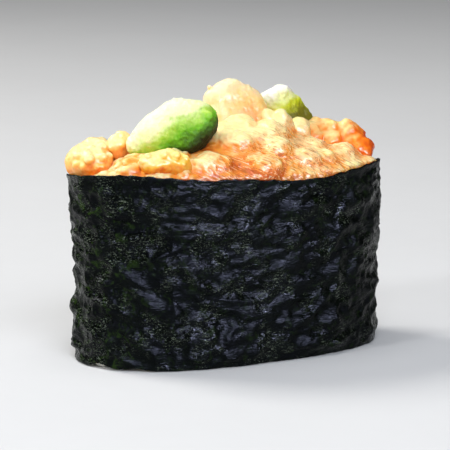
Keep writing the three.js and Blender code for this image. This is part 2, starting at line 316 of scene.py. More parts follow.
# %% Where the grains print through
PRINT_SEED = 11
PRINT_PITCH_ALONG, PRINT_PITCH_UP = 6.2, 3.9
SHIFT_ALONG, SHIFT_UP = 0.7, 0.6  # in shares of the pitch
PRINT_TILT = 1.3
FAINTEST = 0.4


def print_places():
    """Each print's distance round, height, tilt in radians and strength."""
    random = seeded(PRINT_SEED)
    across, up = round(PERIMETER / PRINT_PITCH_ALONG), round(BAND_HEIGHT / PRINT_PITCH_UP)
    for row in range(up):
        for i in range(across):
            s = (i + 0.5 * (row % 2) + SHIFT_ALONG * (random() - 0.5)) * PERIMETER / across
            z = (row + 0.5 + SHIFT_UP * (random() - 0.5)) * BAND_HEIGHT / up
            yield s, z, PRINT_TILT * (random() - 0.5), FAINTEST + (1 - FAINTEST) * random()


PRINTS = list(print_places())
print(len(PRINTS), "grains print through the nori")

# %% The relief of the prints
PRINT_LONG, PRINT_SHORT = 3.0, 1.5
RIM_FADE, FOOT_FADE = 3, 2  # how far from the edges the prints reach their full height


def print_relief(turn, z):
    """How far the grains push the nori out, from 0 to 1."""
    s = along_plan(turn)
    total = np.zeros(np.broadcast(turn, z).shape)
    for at, up, tilt, height in PRINTS:
        ds, dz = wrapped(s - at, PERIMETER), z - up
        far = ds * math.cos(tilt) + dz * math.sin(tilt)
        wide = dz * math.cos(tilt) - ds * math.sin(tilt)
        total += height * hump(far, PRINT_LONG) * hump(wide, PRINT_SHORT)
    near_rim = np.clip((rim_height(turn) - z) / RIM_FADE, 0, 1)
    near_foot = np.clip((z - foot_height(turn)) / FOOT_FADE, 0, 1)
    return np.minimum(1, total) * near_rim * near_foot


# %% [markdown]
# ## The nori
#
# Nori is a thin sheet of dried and pressed seaweed. Once it is damp it wrinkles between the grains,
# and its cut edge stays thin, dark and slightly ragged. A plane with a displacement texture could
# make it, but a ring of columns built from the band's own rules keeps both faces and the lap at the
# back. Each column of points goes up the outside, over the edge and down the inside.

# %% Ridges
RIDGE_OFFSET, RIDGE_GAIN, RIDGE_TOP = 1.0, 2.0, 2.0


def ridges_at(points, size, octaves, seed=0):
    """Thin winding ridges, from 0 between them to 1 on them."""
    shift = Vector((19.1 * seed, 7.7 * seed, 3.3 * seed))
    raw = [
        noise.ridged_multi_fractal(Vector(p) + shift, FALL, FINER, octaves, RIDGE_OFFSET, RIDGE_GAIN)
        for p in points / size
    ]
    return np.clip(np.array(raw) / RIDGE_TOP, 0, 1)


# %% The lap
LAP_START, LAP_END = np.radians(74), np.radians(101)
LAP_EASE = 0.12  # radians over which the second layer rises


def lap_out(turn):
    """The second layer of nori over the lap."""
    t = np.clip((turn - LAP_START + LAP_EASE) / LAP_EASE, 0, 1)
    return np.where(turn < LAP_END, NORI_THICKNESS * t * t * (3 - 2 * t), 0)


# %% The relief of the strip
PRINT_HEIGHT = 0.9
WRINKLE_SIZE, WRINKLE_HEIGHT, WRINKLE_SQUASH = 5.0, 1.2, 1.6
CRINKLE_SIZE, CRINKLE_HEIGHT = 1.5, 0.15
SINK = 0.4  # how far the hollows lie inside the plain wall
RIM_REACH, RIM_LEAST = 1.6, 0.15  # the relief falls to this share over this reach below the rim
FOOT_REACH, FOOT_LEAST = 1.5, 0.35
SMOOTH_END, SMOOTHER = 32, 0.45  # half-width in degrees of the right end, and how much calmer it is


def strip_relief(turns, z, low, high):
    """How far wrinkles and grains push the strip out, calmed near its edges and at the right end."""
    places = np.stack(np.broadcast_arrays(*plan_point(turns), z), 2).reshape(-1, 3)
    squashed = places * [1, 1, WRINKLE_SQUASH]
    wrinkle = ridges_at(squashed, WRINKLE_SIZE, 3, 1).reshape(z.shape) - 0.5
    crinkle = ridges_at(places, CRINKLE_SIZE, 3, 2).reshape(z.shape) - 0.5
    waves = PRINT_HEIGHT * print_relief(turns, z) + WRINKLE_HEIGHT * wrinkle + CRINKLE_HEIGHT * crinkle
    at_rim = np.clip((high - z) / RIM_REACH, RIM_LEAST, 1)
    at_foot = np.clip((z - low) / FOOT_REACH, FOOT_LEAST, 1)
    at_end = 1 - SMOOTHER * hump(wrapped(np.degrees(turns), 360), SMOOTH_END)
    return at_rim * at_foot * at_end * (waves - SINK)


# %% The edges of the strip
NORI_COLUMNS, NORI_ROWS = 560, 120
CUT_STEP = 0.002  # radians on each side of the lap's cut end
RAGGED, RAGGED_SIZE = 0.22, 1.6


def strip_columns():
    """The angles of the columns, with two close together at the lap's cut end."""
    turns = np.arange(NORI_COLUMNS) * 2 * np.pi / NORI_COLUMNS
    return np.sort(np.append(turns, [LAP_END - CUT_STEP, LAP_END + CUT_STEP]))[:, None]


def strip_edges(turns):
    """The heights of the ragged foot and rim at each column."""
    flat = np.stack(plan_point(turns[:, 0]), 1)
    edge = noise_at(np.column_stack([flat, np.zeros(len(flat))]), RAGGED_SIZE, 4, 3)[:, None]
    return foot_height(turns) + RAGGED * np.abs(edge), rim_height(turns) + RAGGED * edge


# %% The strip of nori
INNER_SHARES = np.array([0.995, 0.97, 0.93, 0.88, 0.8, 0.65, 0.45, 0.25, 0.08, 0.02, 0])
RIM_SHARE = 0.95  # above this share of the height both faces wave together
HIDDEN_THICKER, HIDDEN_REACH = 0.6, 1.6  # the hidden part of the inside lies deeper, past this reach


def nori_arrays():
    """Columns that go up the outside, over the rim and down the inside."""
    turns = strip_columns()
    low, high = strip_edges(turns)
    share = np.linspace(0, 1, NORI_ROWS)
    z = low + (high - low) * share
    push = strip_relief(turns, z, low, high)
    out = wall_out(turns, z) + lap_out(turns) + push
    outer = np.stack(np.broadcast_arrays(*plan_point(turns, out), z), 2)
    z = low + (high - low) * INNER_SHARES
    below_rim = np.clip((high - z - NORI_THICKNESS) / HIDDEN_REACH, 0, 1)
    hidden = below_rim * np.clip((z - low) / HIDDEN_REACH, 0, 1)
    row = np.interp(INNER_SHARES, share, np.arange(NORI_ROWS)).astype(int)
    rim_push = push[:, row] * (INNER_SHARES > RIM_SHARE)
    inner_out = wall_out(turns, z) - NORI_THICKNESS - HIDDEN_THICKER * hidden + rim_push
    inner = np.stack(np.broadcast_arrays(*plan_point(turns, inner_out), z), 2)
    section = np.concatenate([outer, inner], 1)
    return within_box(section.reshape(-1, 3)), ring_faces(*section.shape[:2], closed=True)


nori_points, nori_faces = nori_arrays()
nori = make_object("nori_sheet", nori_points, nori_faces)
print(f"nori: {len(nori_points)} points, {len(nori_faces)} faces")

# %% [markdown]
# ## The rice
#
# Cooked sushi rice is short and plump, a little over twice as long as it is wide, and the grains
# under a gunkan are pressed flat by the board. Only the underside shows, and a few grains where the
# nori curls up. So the bed has a plain core, and real grains only underneath: a ring that follows the
# nori, and two layers inside it that lie every way.

# %% One ball, used for grains and crumbs
def unit_ball(subdivisions):
    """A ball of radius 1 as arrays."""
    shape = bmesh.new()
    bmesh.ops.create_icosphere(shape, subdivisions=subdivisions, radius=1)
    points = np.array([v.co[:] for v in shape.verts])
    faces = np.array([[v.index for v in f.verts] for f in shape.faces])
    shape.free()
    return points, faces


BALL_POINTS, BALL_FACES = unit_ball(subdivisions=3)
print(f"a ball has {len(BALL_POINTS)} points")


# %% Turning points
def turned(points, angle, axis=2):
    """Points turned by an angle about X, Y or Z."""
    c, s = math.cos(angle), math.sin(angle)
    a, b = [i for i in range(3) if i != axis]
    result = points.copy()
    result[:, a] = c * points[:, a] - s * points[:, b]
    result[:, b] = s * points[:, a] + c * points[:, b]
    return result


# %% One grain
GRAIN_LONG, GRAIN_WIDE, GRAIN_TALL = 3.0, 1.45, 1.3
GRAIN_PINCH = 0.05
GRAIN_FOOT, FOOT_ROUNDING = 0.04, 0.3


def rice_grain(x, y, z, turn, tilt, size):
    """One grain: plump, a little pinched at one end and flat where it stands."""
    points = BALL_POINTS * [GRAIN_LONG * size, GRAIN_WIDE * size, GRAIN_TALL * size]
    end = points[:, :1]
    points[:, 1:] *= (1 - GRAIN_PINCH * end / GRAIN_LONG) * (1 - GRAIN_PINCH * (end / GRAIN_LONG) ** 2)
    points = turned(turned(points, tilt, 1), turn) + [x, y, z]
    points[:, 2] = np.maximum(points[:, 2], GRAIN_FOOT * (1 - hump(points[:, 2], FOOT_ROUNDING)))
    return points, BALL_FACES


# %% The ring of grains along the nori
RING_GRAINS, RING_HEIGHT, RING_INSET, RING_SIZE = 24, 1.15, 2.2, 0.95
RING_SCATTER, RING_LEAN = 0.2, 0.1  # in shares of the pitch, and in radians
LOOK_ROUND = 0.02  # radians ahead and behind, to find which way the nori runs


def ring_grains(random):
    """Grains that lie along the inside of the nori."""
    grains = []
    for i in range(RING_GRAINS):
        turn = (i + RING_SCATTER * random.rand()) * 2 * np.pi / RING_GRAINS
        x, y = plan_point(turn, wall_out(turn, 1.0) - RING_INSET)
        ahead = plan_point(turn + LOOK_ROUND)
        behind = plan_point(turn - LOOK_ROUND)
        along = math.atan2(ahead[1] - behind[1], ahead[0] - behind[0])
        grains.append(rice_grain(x, y, RING_HEIGHT, along, RING_LEAN * random.randn(), RING_SIZE))
    return grains


# %% The layers of grains inside it
LAYERS = [(1.1, 0.0), (2.5, 0.5)]  # height, and a shift in shares of the pitch
LAYER_ROWS, LAYER_COLUMNS = range(-5, 6), range(-6, 7)
PITCH_LONG, PITCH_WIDE = 4.7, 2.55
SCATTER_LONG, SCATTER_WIDE = 0.3, 0.12  # in shares of the pitch
LAYER_LEAN = 0.16  # radians
LEAST_SIZE, SIZE_SPREAD = 0.9, 0.2
LAYER_EDGE = 0.8  # the share of the plan that the layers fill


def layer_grains(random):
    """Rows of grains that lie every way."""
    grains = []
    for z, shift in LAYERS:
        for row in LAYER_ROWS:
            for column in LAYER_COLUMNS:
                across = column + 0.5 * (row % 2) + shift + SCATTER_LONG * random.randn()
                x = PLAN_CENTRE_X + across * PITCH_LONG
                y = (row + shift + SCATTER_WIDE * random.randn()) * PITCH_WIDE
                turn, tilt = np.pi * random.rand(), LAYER_LEAN * random.randn()
                size = LEAST_SIZE + SIZE_SPREAD * random.rand()
                if share_of(x, y) < LAYER_EDGE:
                    grains.append(rice_grain(x, y, z, turn, tilt, size))
    return grains


# %% The core over the grains
RICE_TOP = 18.5
CORE_COLUMNS = 96
CORE_GAP = 0.7  # between the core and the nori
CORE_SECTION = [
    (1.6, 0.02), (1.6, 0.5), (1.6, 0.9), (2.0, 0.985), (3.0, 1), (6.0, 1), (12.0, 1), (17.9, 1),
    (RICE_TOP, 0.985), (RICE_TOP, 0.6), (RICE_TOP, 0.02),
]  # heights, and shares of the way out to the wall


def rice_core():
    """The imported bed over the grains, drawn in from the nori."""
    turns = np.arange(CORE_COLUMNS)[:, None] * 2 * np.pi / CORE_COLUMNS
    z, share = np.array(CORE_SECTION).T
    inset = wall_out(turns, z) - NORI_THICKNESS - CORE_GAP
    x, y = plan_point(turns, inset * share**4, share)
    section = np.stack(np.broadcast_arrays(x, y, z), 2)
    return section.reshape(-1, 3), ring_faces(*section.shape[:2], closed=False)


# %% The rice
RICE_SEED = 23
random_rice = np.random.RandomState(RICE_SEED)
grains = ring_grains(random_rice) + layer_grains(random_rice)
core_points, core_faces = rice_core()
rice_points, rice_faces = joined([(core_points, halved(core_faces)), *grains])
rice = make_object("rice_grains", rice_points, rice_faces)
print(f"rice: {len(grains)} grains, {len(rice_faces)} faces")

# %% [markdown]
# ## Growing crumbs together
#
# Chopped seafood holds together as one wet mass of soft lumps, with smaller crumbs on the larger
# ones. Metaballs could make it, but they are slow in such numbers. Here crumbs are strewn over the
# plain solid, a voxel remesh skins them all with one even mesh, and smoothing melts the joins.

# %% Strewing crumbs
CRUMB_LEAST, CRUMB_MORE = 0.75, 0.5  # each side of a crumb is from the first to the sum of both
DENT_DEPTH, DENT_WAVES = 0.09, 2.6
ANY_TURN = 6.3  # about a full turn, in radians


def triangle_areas(points, faces):
    """The unit normals and the areas of triangles."""
    a, b, c = (points[faces[:, i]] for i in range(3))
    cross = np.cross(b - a, c - a)
    area = np.linalg.norm(cross, axis=1)
    return cross / np.maximum(area, TINY)[:, None], area / 2


def crumbs_on(points, faces, count, sizes, seed, where, sunk=0.35):
    """Crumbs of mixed sizes, partly sunk in the faces that where allows."""
    random = np.random.RandomState(seed)
    normals, areas = triangle_areas(points, faces)
    centres = points[faces].mean(1)
    weight = areas * where(centres, normals)
    picked = random.choice(len(faces), count, p=weight / weight.sum())
    crumbs = []
    for i in picked:
        u, v = random.rand(2)
        if u + v > 1:
            u, v = 1 - u, 1 - v
        a, b, c = points[faces[i]]
        size = sizes[0] + (sizes[1] - sizes[0]) * random.rand() ** 2
        stretch = size * (CRUMB_LEAST + CRUMB_MORE * random.rand(3))
        phase = ANY_TURN * random.rand(3)
        dents = DENT_DEPTH * np.sin(DENT_WAVES * BALL_POINTS + phase).sum(1, keepdims=True)
        ball = BALL_POINTS * (1 + dents)
        ball = turned(turned(ball * stretch, ANY_TURN * random.rand(), 1), ANY_TURN * random.rand())
        crumbs.append((ball + a + u * (b - a) + v * (c - a) - sunk * size * normals[i], BALL_FACES))
    return crumbs


# %% Skinning them
JOIN_ROUNDS = 3


def skinned(points, faces, voxel):
    """One even skin over everything in the arrays."""
    rough = bpy.data.meshes.new("rough")
    rough.from_pydata(points.tolist(), [], faces.tolist())
    thing = bpy.data.objects.new("rough", rough)
    bpy.context.scene.collection.objects.link(thing)
    skin = thing.modifiers.new("skin", "REMESH")
    skin.mode = "VOXEL"
    skin.voxel_size = voxel
    mesh = thing.evaluated_get(bpy.context.evaluated_depsgraph_get()).to_mesh()
    new_points, new_faces = arrays_of(mesh)
    bpy.data.objects.remove(thing)
    bpy.data.meshes.remove(rough)
    return new_points * MM, new_faces


def grown_on(points, faces, balls, voxel):
    """Grows balls into a skin, and softens the joins a little."""
    points, faces = skinned(*joined([(points, halved(faces)), *balls]), voxel)
    edges = edges_of(faces)
    return smoothed(points, edges, JOIN_ROUNDS), faces, edges


# %% [markdown]
# Wet fish and egg take light in and look deeper in colour in their folds than on their bumps, and on the
# side away from the light. Here that is painted into the colour: painted shade in the folds and on the far
# sides, and painted light on the bumps that face the light. So each point keeps one number, its painted
# shade, and the materials read it. It comes from how far the neighbours stand out beyond the point, smoothed
# over a few rings, and it is lowered where the point faces up and to the left.

# %% Painting shade into the folds
PAINTED_LIGHT_FROM = np.array([-0.35, 0.25, 0.9])
FLAT_NUMBER, LIGHT_FACING_SHARE = 0.56, 0.36
SOFTEN_ROUNDS = 2


def painted_fold_shade(points, faces, edges, reach, strength):
    """Painted shade, from 0 on bumps that face the upper left light to 1 in folds and on sides away from it.
    The reach is in rounds of smoothing.
    """
    normals = normals_of(points, faces)
    flat = smoothed(points, edges, reach)
    shade_depth = smoothed(((flat - points) * normals).sum(1), edges, SOFTEN_ROUNDS)
    return np.clip(FLAT_NUMBER + strength * shade_depth - LIGHT_FACING_SHARE * (normals @ PAINTED_LIGHT_FROM), 0, 1)


def with_shade_spots(painted_shade, points, places):
    """Deepens the painted shade round each (centre, reach, amount), or lightens it for a negative amount."""
    for at, reach, amount in places:
        painted_shade = painted_shade + amount * np.exp(-((points - at) ** 2).sum(1) / reach**2)
    return np.clip(painted_shade, 0, 1)


def keep_number(thing, name, values):
    """Stores one number at each point, for the material to read."""
    layer = thing.data.attributes.new(name, "FLOAT", "POINT")
    layer.data.foreach_set("value", values.astype(np.float32))


# %% [markdown]
# ## The heap of chopped seafood
#
# The heap fills the cup above the rice. Lumps are strewn over its solid and melted until only soft
# swellings are left. Small crumbs then go on at the front left, where the mince looks coarser. The
# knife has also dragged it into short fibres that run down to the right.

# %% The run of the fibres
FIBRE_TURN, FIBRE_DIP, FIBRE_STRETCH = math.radians(-36), math.radians(20), 5.0


def along_fibres(points):
    """Points squeezed along the fibres, so that noise read there is drawn out along them."""
    return turned(turned(points, -FIBRE_TURN), FIBRE_DIP, 1) / [FIBRE_STRETCH, 1, 1]


print(f"fibres are drawn out {FIBRE_STRETCH:.0f} times")

# %% Places on the heap
UPRIGHT_LUMPS = [
    ((7.0, -1.2, 39.9), (0.8, 0.8, 1.6)),
    ((9.4, -1.2, 38.6), (1.5, 1.4, 1.9)),
    ((14.4, 0.2, 37.6), (1.6, 1.4, 1.5)),
]  # centres and half-sizes of lumps that stand up near the peak
# Centres, reaches and amounts of painted shade: above 0 where the mince's painted shade is deepened, and
# below 0 where it is lightened, painted light
HEAP_SHADE_SPOTS = [
    ((7.0, -1.2, 40.0), 1.6, -0.5),
    ((9.3, -1.6, 39.0), 2.0, -0.4),
    ((14.4, -0.2, 38.0), 2.0, -0.4),
    ((-1.5, -4.0, 37.8), 3.6, -0.4),
    ((3.4, -4.6, 37.4), 3.2, -0.5),
    ((13.1, -7.0, 35.2), 1.8, -0.35),
    ((10.4, -11.5, 33.2), 2.4, -0.4),
    ((19.5, -9.5, 33.0), 2.0, -0.35),
    ((-9.2, -12.8, 33.8), 2.0, -0.35),
    ((-7.3, -7.0, 36.0), 2.6, 0.5),
    ((-14.0, -12.5, 32.5), 2.0, 0.3),
    ((-20.5, -6.5, 34.5), 3.0, 0.3),
    ((-3.0, -12.0, 33.0), 5.0, 0.3),
    ((-20.0, -10.0, 32.2), 2.5, 0.35),
    ((-9.5, -13.4, 32.0), 2.5, 0.35),
    ((-15.0, 8.5, 33.5), 4.0, 0.4),
    ((-6.0, 7.0, 36.5), 2.6, 0.35),
    ((-4.0, 12.0, 32.5), 3.5, 0.45),
    ((4.0, 9.0, 35.5), 2.6, 0.3),
    ((8.0, 12.0, 32.5), 4.0, 0.45),
    ((17.0, 9.0, 33.0), 3.5, 0.35),
    ((-22.0, 7.0, 32.0), 3.0, 0.4),
]
print(len(UPRIGHT_LUMPS), "lumps stand up, and", len(HEAP_SHADE_SPOTS), "places have a tint of their own")

# %% Keeping within the nori
WALL_CLEARANCE = 0.12
OVERHANG = 0.9  # how far out the topping may lean over the rim, for each step above it
OVER_STEEP, OVER_START, OVER_MOST = 4, 0.15, 2  # steps to a mm, where they start, and how many at most
PULL_BACK, PULL_REACH = 0.75, 1.4  # how far in the topping is drawn below the rim, and over what height
LEAST_SHARE = 1e-6  # keeps the very middle from dividing by zero


def inside_band(points):
    """Draws points back so that they stay within the nori, up to its rim."""
    x, y, z = points.T
    turn = turn_of(x, y)
    px, py = plan_point(turn)
    reach = np.hypot(px - PLAN_CENTRE_X, py)
    over_rim = np.clip(OVER_STEEP * (z - rim_height(turn) + OVER_START), 0, OVER_MOST)
    under_rim = np.clip((rim_height(turn) - z) / PULL_REACH, 0, 1)
    wall = wall_out(turn, z) - NORI_THICKNESS - WALL_CLEARANCE
    limit = 1 + (wall + OVERHANG * over_rim - PULL_BACK * under_rim) / reach
    factor = np.minimum(1, limit / np.maximum(share_of(x, y), LEAST_SHARE))
    return np.stack([PLAN_CENTRE_X + (x - PLAN_CENTRE_X) * factor, y * factor, z], 1)


# %% Where crumbs may lie
TOP_FROM = 30.5
FRONT_LEFT = (-10.5, -4)
LEVEL_OR_UP, NOT_DOWN = -0.1, -0.4  # the least height of the normal


def on_top(centre, normal):
    return (centre[:, 2] > TOP_FROM) & (normal[:, 2] > LEVEL_OR_UP)


def at_front_left(centre, normal):
    return on_top(centre, normal) & (centre[:, 0] < FRONT_LEFT[0]) & (centre[:, 1] < FRONT_LEFT[1])


def but_below(centre, normal):
    return normal[:, 2] > NOT_DOWN


# %% The heap
HEAP_LUMPS, HEAP_CRUMBS = (50, (1.2, 2.4), 41), (110, (0.35, 0.75), 17)  # count, sizes and seed
LUMPS_SUNK, CRUMBS_SUNK = 0.7, 0.2  # in shares of their size
HEAP_VOXEL = 0.275
HEAP_MELT = 34
HEAP_SWELL = 0.35
SWELLINGS, CREASES, FINE_FIBRES = (3.0, 0.35), (1.5, 0.28), (0.55, 0.16)  # size, height
HEAP_SHADE_PAINTING = (14, 1.6)  # reach and strength
# Painted shade deepens the heap's colour below this height and painted light pales it above, by this much
# for each millimetre
PAINTED_SHADE_LEVEL, PAINTED_SHADE_PER_MM = 36.0, 0.04


def solid_arrays(node):
    return arrays_of(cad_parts[node].data)


def heap_relief(points):
    """Soft swellings, creases and fine fibres."""
    swellings = SWELLINGS[1] * noise_at(points, SWELLINGS[0], 2, 1)
    creases = CREASES[1] * (ridges_at(points, CREASES[0], 2, 5) - 0.5)
    fibres = FINE_FIBRES[1] * noise_at(along_fibres(points), FINE_FIBRES[0], 2, 2)
    return HEAP_SWELL + (swellings + creases) + fibres


def seafood_heap_arrays():
    """The heap's points, faces and fold numbers."""
    points, faces = solid_arrays("seafood_heap")
    lumps = crumbs_on(points, faces, *HEAP_LUMPS, on_top, LUMPS_SUNK)
    upright = [(BALL_POINTS * size + at, BALL_FACES) for at, size in UPRIGHT_LUMPS]
    points, faces = skinned(*joined([(points, faces), *lumps, *upright]), HEAP_VOXEL)
    points = smoothed(points, edges_of(faces), HEAP_MELT)
    crumbs = crumbs_on(points, halved(faces), *HEAP_CRUMBS, at_front_left, CRUMBS_SUNK)
    points, faces, edges = grown_on(points, faces, crumbs, HEAP_VOXEL)
    push = heap_relief(points)[:, None]
    points = within_box(inside_band(points + normals_of(points, faces) * push))
    painted_shade = painted_fold_shade(points, faces, edges, *HEAP_SHADE_PAINTING) + PAINTED_SHADE_PER_MM * (PAINTED_SHADE_LEVEL - points[:, 2])
    return points, faces, with_shade_spots(painted_shade, points, HEAP_SHADE_SPOTS)


heap_points, heap_faces, heap_painted_shade = seafood_heap_arrays()
heap = make_object("chopped_seafood", heap_points, heap_faces)
keep_number(heap, "painted_shade", heap_painted_shade)
print(f"heap: {len(heap_points)} points, {len(heap_faces)} faces")

# %% [markdown]
# ## The larger pieces
#
# The larger pieces are made the same way, each from its own solid. Random crumbs make their surface
# lumpy. Lumps fill out a form that the solid keeps plain, and nubs, which go on after the melting,
# stay small and crisp. The piece at the peak is nearly smooth, and the ones at the ends are covered
# in soft bumps.

# %% Soft pieces from solids
PIECE_VOXEL = 0.2
PIECE_SHADE_PAINTING = (20, 1.2)  # reach and strength
FOOT_SHADE_START = 0.3  # the share of the way down at which the painted foot shade changes nothing


def balls_at(places):
    """Plain balls from (x, y, z, radius)."""
    return [(BALL_POINTS * radius + [x, y, z], BALL_FACES) for x, y, z, radius in places]


def piece_arrays(node, crumbs, melt, lumps, nubs):
    """The melted skin over a solid, its crumbs and its lumps, with nubs on it."""
    points, faces = solid_arrays(node)
    parts = [(points, faces), *balls_at(lumps)]
    if crumbs:
        parts += crumbs_on(points, faces, *crumbs, but_below)
    points, faces = skinned(*joined(parts), PIECE_VOXEL)
    edges = edges_of(faces)
    points = smoothed(points, edges, melt)
    if nubs:
        points, faces, edges = grown_on(points, faces, balls_at(nubs), PIECE_VOXEL)
    return points, faces, edges


def soft_piece(name, node, crumbs, melt, waves, swell, foot_shade=0.0, lumps=(), nubs=(), shade_tints=()):
    """A fine piece over a solid.

    Crumbs is None or (count, sizes, seed), melt counts rounds of smoothing, waves is [(size, height)], swell
    is how far the whole skin moves out, and the number after swell is painted shade that deepens towards the
    foot.
    """
    points, faces, edges = piece_arrays(node, crumbs, melt, lumps, nubs)
    push = swell + sum(height * noise_at(points, size, 2, i) for i, (size, height) in enumerate(waves))
    points = within_box(inside_band(points + normals_of(points, faces) * push[:, None]))
    thing = make_object(name, points, faces)
    foot, crown = points[:, 2].min(), points[:, 2].max()
    lower = (crown - points[:, 2]) / (crown - foot) - FOOT_SHADE_START
    # Painted shade: deeper in folds, on sides away from the light and towards the foot
    painted_shade = painted_fold_shade(points, faces, edges, *PIECE_SHADE_PAINTING) + foot_shade * lower
    keep_number(thing, "painted_shade", with_shade_spots(painted_shade, points, shade_tints))
    print(f"{name}: {len(points)} points")
    return thing


# %% The piece at the peak
peak = soft_piece(
    "pale_piece_at_peak", "seafood_piece_peak", crumbs=None, melt=28,
    waves=[(4.0, 0.22), (1.4, 0.1), (0.5, 0.03)], swell=0.1, foot_shade=0.1,
    nubs=[(-2.1, 2.2, 45.4, 0.42), (5.2, 2.2, 45.1, 0.4)],
    # Painted shade deepened at two places on the piece
    shade_tints=[((3.4, -1.5, 41.9), 2.4, 0.22), ((4.2, -2.2, 39.8), 1.6, 0.25)],
)

# %% The pieces at the left
left = soft_piece(
    "lumpy_piece_left", "seafood_piece_left", crumbs=(22, (0.5, 0.9), 4), melt=22,
    waves=[(3.4, 0.3), (1.2, 0.14), (0.5, 0.05)], swell=0.05, foot_shade=0.75,
    lumps=[(-22.4, 1.4, 35.8, 1.7)],
    nubs=[
        (-26.6, -3.2, 35.2, 0.8), (-24.4, -3.4, 35.4, 0.8), (-27.5, -0.6, 35.3, 0.8),
        (-25.0, -0.2, 36.3, 0.9), (-23.0, -0.2, 36.5, 0.9), (-22.6, -1.5, 35.1, 0.9),
        (-25.6, -3.9, 33.8, 0.7), (-27.2, -2.5, 33.8, 0.8),
    ],
)
left_inner = soft_piece(
    "lumpy_piece_left_inner", "seafood_piece_left_inner", crumbs=(9, (0.6, 1.0), 5), melt=22,
    waves=[(2.4, 0.2), (1.2, 0.12)], swell=0.3, foot_shade=0.7,
    nubs=[(-20.0, -0.7, 36.9, 0.7), (-19.6, 0.2, 38.3, 0.6), (-21.3, -0.3, 36.5, 0.6)],
)

# %% The piece at the front rim
front = soft_piece(
    "yellow_piece_front", "seafood_piece_front", crumbs=(9, (0.6, 1.0), 16), melt=24,
    waves=[(2.6, 0.2), (1.2, 0.14), (0.5, 0.05)], swell=0.25, foot_shade=0.8,
    lumps=[(-19.2, -10.0, 35.2, 1.1), (-13.4, -10.9, 34.0, 1.6)],
    nubs=[
        (-20.0, -10.3, 35.6, 0.5), (-19.3, -10.4, 36.2, 0.45), (-18.2, -10.2, 35.9, 0.5),
        (-16.6, -11.2, 36.4, 0.5), (-14.6, -11.5, 36.2, 0.55), (-13.0, -11.6, 35.6, 0.5),
    ],
    # Painted shade lightened at the left end of the piece and deepened low at its right
    shade_tints=[((-19.0, -9.8, 35.2), 1.8, -0.5), ((-13.2, -12.0, 33.4), 1.5, 0.5)],
)

# %% The piece at the right
right = soft_piece(
    "orange_piece_right", "seafood_piece_right", crumbs=(26, (0.8, 1.3), 7), melt=20,
    waves=[(2.2, 0.2), (1.1, 0.12)], swell=0.15, foot_shade=0.4,
    lumps=[
        (17.6, 2.4, 34.8, 2.4), (19.5, 3.4, 35.6, 2.4), (21.0, 1.2, 34.4, 2.2),
        (23.2, 3.0, 35.3, 2.4), (24.9, -0.2, 34.0, 2.2), (25.8, 1.2, 34.2, 2.3),
    ],
    # Painted shade deepened at the right end, away from the light
    shade_tints=[((27.2, -0.5, 33.8), 3.0, 0.6)],
)

# %% [markdown]
# ## The avocado
#
# Ripe avocado cuts with soft rounded edges. The flesh is cream near the stone and green under the
# skin, and it is faintly furred where the knife has dragged. Its forms are plain, so the solids only
# need melting, a little waviness and, on the piece in front, a few nubs along the cut edges.

# %% The avocado
avocado_front = soft_piece(
    "avocado_piece_front", "avocado_front", crumbs=None, melt=30,
    waves=[(5.0, 0.14), (1.4, 0.14), (0.6, 0.08)], swell=-0.05,
    nubs=[
        (-7.4, -8.7, 42.0, 0.8), (-17.7, -3.0, 40.0, 0.4),
        (-12.0, -5.0, 44.6, 0.4), (-10.6, -5.0, 44.7, 0.35),
    ],
)
avocado_back = soft_piece(
    "avocado_piece_back", "avocado_back", crumbs=None, melt=18,
    waves=[(3.2, 0.35), (1.2, 0.14), (0.6, 0.05)], swell=0.1,
)

# %% [markdown]
# ## Building materials
#
# A material is a tree of nodes. The helpers here add a node, set its plain inputs, and link the
# inputs that are given as another node's output, so that a tree reads from top to bottom.

# %% Colours
def colour(hexes):
    """A screen colour such as f0ead8 as the linear numbers that shaders use."""
    parts = [int(hexes[i : i + 2], 16) / 255 for i in (0, 2, 4)]
    return [p / 12.92 if p < 0.04045 else ((p + 0.055) / 1.055) ** 2.4 for p in parts] + [1]


def grey(value):
    return [value, value, value, 1]


print("screen grey 808080 is", round(colour("808080")[0], 2), "in linear numbers")


# %% Adding nodes
def fill(tree, node, inputs):
    """Sets a node's inputs from plain values or from other nodes' outputs.

    An input is given by its name, with _ for a space, or by its number after one _.
    """
    for name, value in inputs.items():
        place = node.inputs[int(name[1:])] if name[0] == "_" else node.inputs[name.replace("_", " ")]
        if isinstance(value, bpy.types.NodeSocket):
            tree.links.new(value, place)
        else:
            place.default_value = value
    return node


def put(tree, kind, settings=None, **inputs):
    """Adds a node with its settings and inputs."""
    node = tree.nodes.new("ShaderNode" + kind)
    for name, value in (settings or {}).items():
        setattr(node, name, value)
    return fill(tree, node, inputs)


# %% Nodes that come up often
def ramp(tree, factor, stops):
    """A colour ramp from stops of (place, colour)."""
    node = put(tree, "ValToRGB", Fac=factor)
    elements = node.color_ramp.elements
    while len(elements) < len(stops):
        elements.new(0.5)
    for element, (place, shade) in zip(elements, stops):
        element.position = place
        element.color = shade
    return node.outputs["Color"]


def mixed(tree, factor, a, b, blend="MIX"):
    """Colour a turned into colour b by a factor."""
    node = put(tree, "Mix", {"data_type": "RGBA", "blend_type": blend}, _0=factor, _6=a, _7=b)
    return node.outputs[2]


def sums(tree, kind, a, b=0.0, c=0.0):
    """A sum of one kind, such as MULTIPLY_ADD for a times b plus c."""
    return put(tree, "Math", {"operation": kind}, _0=a, _1=b, _2=c).outputs[0]


def between(tree, value, low, high, start=0.0, end=1.0, kind="LINEAR"):
    """A number that runs from start to end while a value goes from low to high."""
    settings = {"interpolation_type": kind}
    return put(tree, "MapRange", settings, Value=value, _1=low, _2=high, _3=start, _4=end).outputs[0]


# %% New materials and groups
def new_material(name):
    material = bpy.data.materials.new(name)
    material.use_nodes = True
    tree = material.node_tree
    tree.nodes.clear()
    return material, tree


